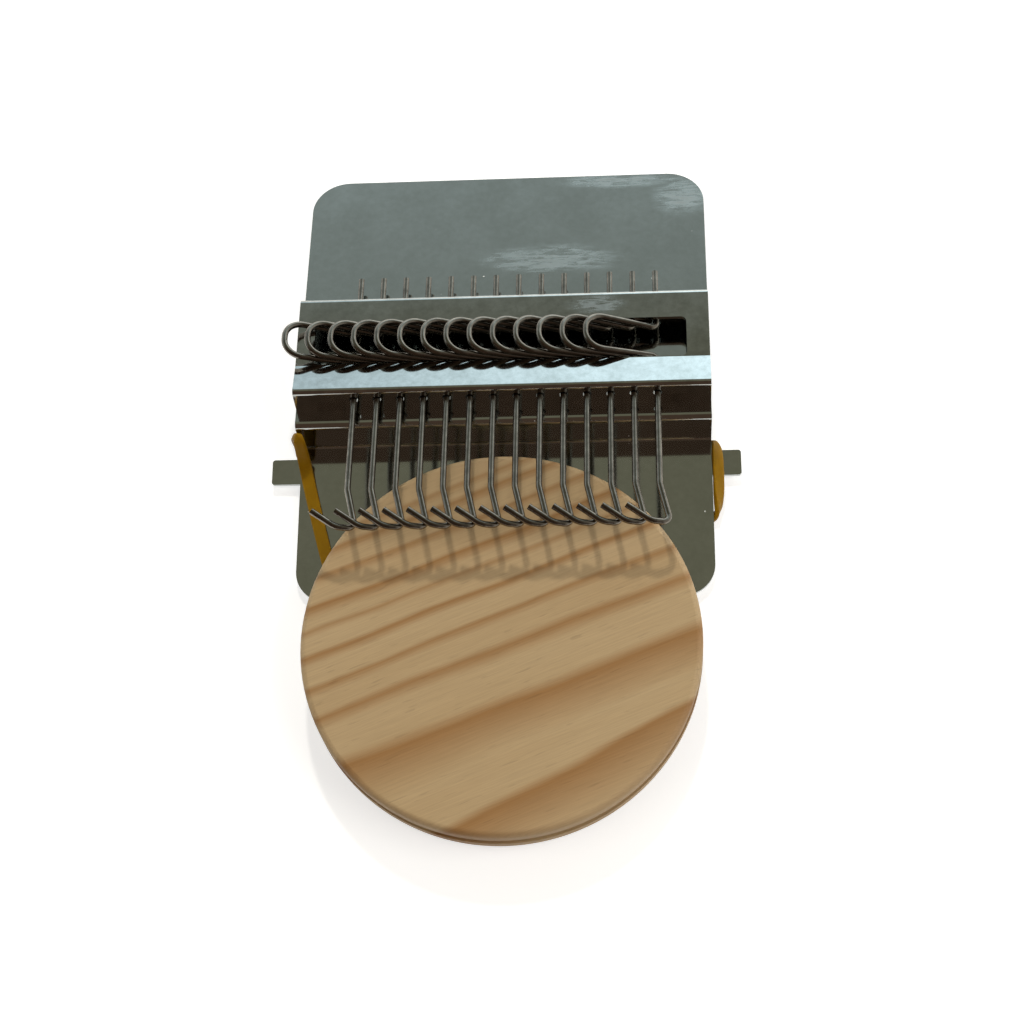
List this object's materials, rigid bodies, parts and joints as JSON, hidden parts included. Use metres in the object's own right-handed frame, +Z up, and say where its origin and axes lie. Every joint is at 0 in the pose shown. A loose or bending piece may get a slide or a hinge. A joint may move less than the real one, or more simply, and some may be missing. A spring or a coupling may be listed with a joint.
{
  "type": "darning loom",
  "caption": "Small darning loom: a stepped polished steel plate with a slotted bridge of turning wire hooks, a grooved wooden disc and a rubber band.",
  "frame": {"origin": "under the middle of the loom's overall box, on the surface it lies on", "axes": "+Y runs from the wooden disc to the far edge of the plate, +Z is up, +X is to the right as seen from the disc"},
  "size_m": [0.0798, 0.1236, 0.0175],
  "materials": {
    "polished_plate": "mirror-polished stainless sheet with fine smears",
    "steel_wire": "drawn bright wire",
    "pine": "sanded bare pine",
    "yellow_rubber": "matt translucent"
  },
  "bodies": {
    "plate": {"base_plate": "polished_plate", "hook_bridge": "polished_plate", "rubber_band": "yellow_rubber"},
    "disc": {"wooden_disc": "pine"},
    "hook_01": {"hook_01": "steel_wire"},
    "hook_02": {"hook_02": "steel_wire"},
    "hook_03": {"hook_03": "steel_wire"},
    "hook_04": {"hook_04": "steel_wire"},
    "hook_05": {"hook_05": "steel_wire"},
    "hook_06": {"hook_06": "steel_wire"},
    "hook_07": {"hook_07": "steel_wire"},
    "hook_08": {"hook_08": "steel_wire"},
    "hook_09": {"hook_09": "steel_wire"},
    "hook_10": {"hook_10": "steel_wire"},
    "hook_11": {"hook_11": "steel_wire"},
    "hook_12": {"hook_12": "steel_wire"},
    "hook_13": {"hook_13": "steel_wire"},
    "hook_14": {"hook_14": "steel_wire"}
  },
  "joints": [
    {"name": "hook_01_turn", "type": "hinge", "parent": "plate", "child": "hook_01", "pos_m": [-0.02488, 0.01916, 0.01029], "axis": [0, 0.9858, -0.1677], "range_deg": [0, 135]},
    {"name": "hook_02_turn", "type": "hinge", "parent": "plate", "child": "hook_02", "pos_m": [-0.02096, 0.01916, 0.01029], "axis": [0, 0.9858, -0.1677], "range_deg": [0, 135]},
    {"name": "hook_03_turn", "type": "hinge", "parent": "plate", "child": "hook_03", "pos_m": [-0.01704, 0.01916, 0.01029], "axis": [0, 0.9858, -0.1677], "range_deg": [0, 135]},
    {"name": "hook_04_turn", "type": "hinge", "parent": "plate", "child": "hook_04", "pos_m": [-0.01312, 0.01916, 0.01029], "axis": [0, 0.9858, -0.1677], "range_deg": [0, 135]},
    {"name": "hook_05_turn", "type": "hinge", "parent": "plate", "child": "hook_05", "pos_m": [-0.0092, 0.01916, 0.01029], "axis": [0, 0.9858, -0.1677], "range_deg": [0, 135]},
    {"name": "hook_06_turn", "type": "hinge", "parent": "plate", "child": "hook_06", "pos_m": [-0.00528, 0.01916, 0.01029], "axis": [0, 0.9858, -0.1677], "range_deg": [0, 135]},
    {"name": "hook_07_turn", "type": "hinge", "parent": "plate", "child": "hook_07", "pos_m": [-0.00136, 0.01916, 0.01029], "axis": [0, 0.9858, -0.1677], "range_deg": [0, 135]},
    {"name": "hook_08_turn", "type": "hinge", "parent": "plate", "child": "hook_08", "pos_m": [0.00256, 0.01916, 0.01029], "axis": [0, 0.9858, -0.1677], "range_deg": [0, 135]},
    {"name": "hook_09_turn", "type": "hinge", "parent": "plate", "child": "hook_09", "pos_m": [0.00648, 0.01916, 0.01029], "axis": [0, 0.9858, -0.1677], "range_deg": [0, 135]},
    {"name": "hook_10_turn", "type": "hinge", "parent": "plate", "child": "hook_10", "pos_m": [0.0104, 0.01916, 0.01029], "axis": [0, 0.9858, -0.1677], "range_deg": [0, 135]},
    {"name": "hook_11_turn", "type": "hinge", "parent": "plate", "child": "hook_11", "pos_m": [0.01432, 0.01916, 0.01029], "axis": [0, 0.9858, -0.1677], "range_deg": [0, 135]},
    {"name": "hook_12_turn", "type": "hinge", "parent": "plate", "child": "hook_12", "pos_m": [0.01824, 0.01916, 0.01029], "axis": [0, 0.9858, -0.1677], "range_deg": [0, 135]},
    {"name": "hook_13_turn", "type": "hinge", "parent": "plate", "child": "hook_13", "pos_m": [0.02216, 0.01916, 0.01029], "axis": [0, 0.9858, -0.1677], "range_deg": [0, 135]},
    {"name": "hook_14_turn", "type": "hinge", "parent": "plate", "child": "hook_14", "pos_m": [0.02608, 0.01916, 0.01029], "axis": [0, 0.9858, -0.1677], "range_deg": [0, 135]},
    {"name": "disc_slide", "type": "slide", "parent": "plate", "child": "disc", "axis": [0, -1, 0], "range_m": [0, 0.04]}
  ],
  "couplings": [
    {"joint": "hook_02_turn", "follows": "hook_01_turn", "ratio": 1},
    {"joint": "hook_03_turn", "follows": "hook_01_turn", "ratio": 1},
    {"joint": "hook_04_turn", "follows": "hook_01_turn", "ratio": 1},
    {"joint": "hook_05_turn", "follows": "hook_01_turn", "ratio": 1},
    {"joint": "hook_06_turn", "follows": "hook_01_turn", "ratio": 1},
    {"joint": "hook_07_turn", "follows": "hook_01_turn", "ratio": 1},
    {"joint": "hook_08_turn", "follows": "hook_01_turn", "ratio": 1},
    {"joint": "hook_09_turn", "follows": "hook_01_turn", "ratio": 1},
    {"joint": "hook_10_turn", "follows": "hook_01_turn", "ratio": 1},
    {"joint": "hook_11_turn", "follows": "hook_01_turn", "ratio": 1},
    {"joint": "hook_12_turn", "follows": "hook_01_turn", "ratio": 1},
    {"joint": "hook_13_turn", "follows": "hook_01_turn", "ratio": 1},
    {"joint": "hook_14_turn", "follows": "hook_01_turn", "ratio": 1}
  ]
}
